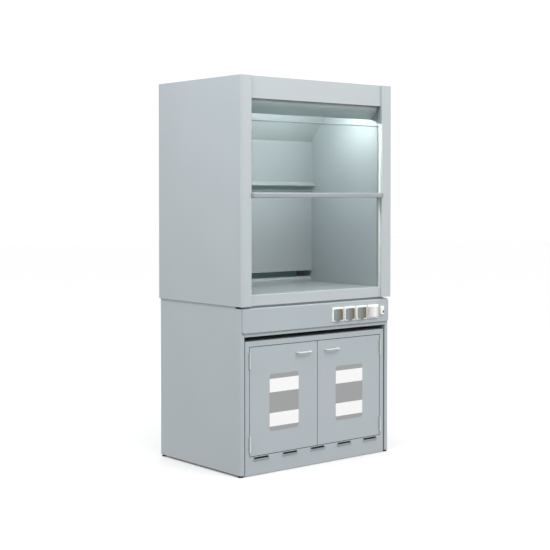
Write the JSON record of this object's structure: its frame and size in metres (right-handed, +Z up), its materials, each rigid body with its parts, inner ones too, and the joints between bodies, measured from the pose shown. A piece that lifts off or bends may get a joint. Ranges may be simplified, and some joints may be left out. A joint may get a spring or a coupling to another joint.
{
  "type": "fume hood",
  "caption": "Laboratory fume hood: a lit chamber with baffles behind a sliding glass sash, over a worktop, on a base with a control panel and a ventilated cabinet.",
  "frame": {"origin": "on the floor, under the middle of the bounding box", "axes": "+Z up, front with the sash and the doors towards -Y, +X to the right seen from the front"},
  "size_m": [1.2, 0.8372, 2.35],
  "materials": {
    "body_grey": "satin powder coat",
    "worktop_grey": "satin coat",
    "inner_wall": "smooth laminate",
    "guide_white": "white profile",
    "sash_glass": "clear safety glass",
    "bar_grey": "satin powder coat",
    "cap_grey": "moulded",
    "lens_white": "diffusing",
    "collar_metal": "satin powder coat",
    "fitting_white": "moulded",
    "rocker_white": "moulded",
    "lid_smoked": "smoked, translucent",
    "button_green": "moulded",
    "pull_white": "satin coat",
    "plate_pale": "smooth",
    "hinge_steel": "brushed",
    "foot_black": "matt"
  },
  "bodies": {
    "hood": {"air_valance": "body_grey", "baffle_lower": "body_grey", "baffle_middle": "body_grey", "baffle_upper": "body_grey", "base_back_panel": "body_grey", "base_front_rail": "body_grey", "base_side_left": "body_grey", "base_side_right": "body_grey", "cabinet_carcass": "body_grey", "cabinet_front": "body_grey", "control_panel": "body_grey", "exhaust_collar": "collar_metal", "fascia": "body_grey", "foot_back_left": "foot_black", "foot_back_right": "foot_black", "foot_front_left": "foot_black", "foot_front_right": "foot_black", "front_sill": "body_grey", "hinge_frame_leaf_high_left": "hinge_steel", "hinge_frame_leaf_high_right": "hinge_steel", "hinge_frame_leaf_low_left": "hinge_steel", "hinge_frame_leaf_low_right": "hinge_steel", "lamp_housing": "body_grey", "lamp_lens": "lens_white", "liner_ceiling": "body_grey", "liner_left": "inner_wall", "liner_right": "inner_wall", "outer_side_left": "body_grey", "outer_side_right": "body_grey", "rear_panel": "body_grey", "roof_panel": "body_grey", "sash_guide_left": "guide_white", "sash_guide_right": "guide_white", "socket_body_1": "fitting_white", "socket_body_2": "fitting_white", "socket_body_3": "fitting_white", "starter_body": "fitting_white", "switch_frame": "fitting_white", "worktop": "worktop_grey"},
    "sash": {"sash_pane_front": "sash_glass", "sash_handle": "bar_grey", "handle_cap_left": "cap_grey", "handle_cap_right": "cap_grey"},
    "rear_sash": {"sash_pane_rear": "sash_glass"},
    "door_left_body": {"door_left": "body_grey", "door_pull_left": "pull_white", "info_plate_left": "plate_pale", "hinge_door_leaf_low_left": "hinge_steel", "hinge_door_leaf_high_left": "hinge_steel"},
    "door_right_body": {"door_right": "body_grey", "door_pull_right": "pull_white", "info_plate_right": "plate_pale", "hinge_door_leaf_low_right": "hinge_steel", "hinge_door_leaf_high_right": "hinge_steel"},
    "lid_1": {"socket_lid_1": "lid_smoked"},
    "lid_2": {"socket_lid_2": "lid_smoked"},
    "lid_3": {"socket_lid_3": "lid_smoked"},
    "rocker": {"switch_rocker": "rocker_white"},
    "button": {"starter_button": "button_green"}
  },
  "joints": [
    {"name": "sash_slide", "type": "slide", "parent": "hood", "child": "sash", "axis": [0, 0, -1], "range_m": [0, 0.558]},
    {"name": "rear_sash_slide", "type": "slide", "parent": "hood", "child": "rear_sash", "axis": [0, 0, -1], "range_m": [0, 0.1395]},
    {"name": "door_left_hinge", "type": "hinge", "parent": "hood", "child": "door_left_body", "pos_m": [-0.5215, -0.3874, 0.4288], "axis": [0, 0, -1], "range_deg": [0, 165]},
    {"name": "door_right_hinge", "type": "hinge", "parent": "hood", "child": "door_right_body", "pos_m": [0.5215, -0.3874, 0.4288], "axis": [0, 0, 1], "range_deg": [0, 165]},
    {"name": "lid_1_hinge", "type": "hinge", "parent": "hood", "child": "lid_1", "pos_m": [0.1457, -0.4104, 0.9249], "axis": [-1, 0, 0], "range_deg": [0, 90]},
    {"name": "lid_2_hinge", "type": "hinge", "parent": "hood", "child": "lid_2", "pos_m": [0.2443, -0.4104, 0.9249], "axis": [-1, 0, 0], "range_deg": [0, 90]},
    {"name": "lid_3_hinge", "type": "hinge", "parent": "hood", "child": "lid_3", "pos_m": [0.3429, -0.4104, 0.9249], "axis": [-1, 0, 0], "range_deg": [0, 90]},
    {"name": "rocker_hinge", "type": "hinge", "parent": "hood", "child": "rocker", "pos_m": [0.4415, -0.4014, 0.8945], "axis": [1, 0, 0], "range_deg": [-4, 4]},
    {"name": "button_slide", "type": "slide", "parent": "hood", "child": "button", "axis": [0, 1, 0], "range_m": [0, 0.002], "stiffness_N_per_m": 400}
  ],
  "couplings": [
    {"joint": "rear_sash_slide", "follows": "sash_slide", "ratio": 0.25}
  ]
}
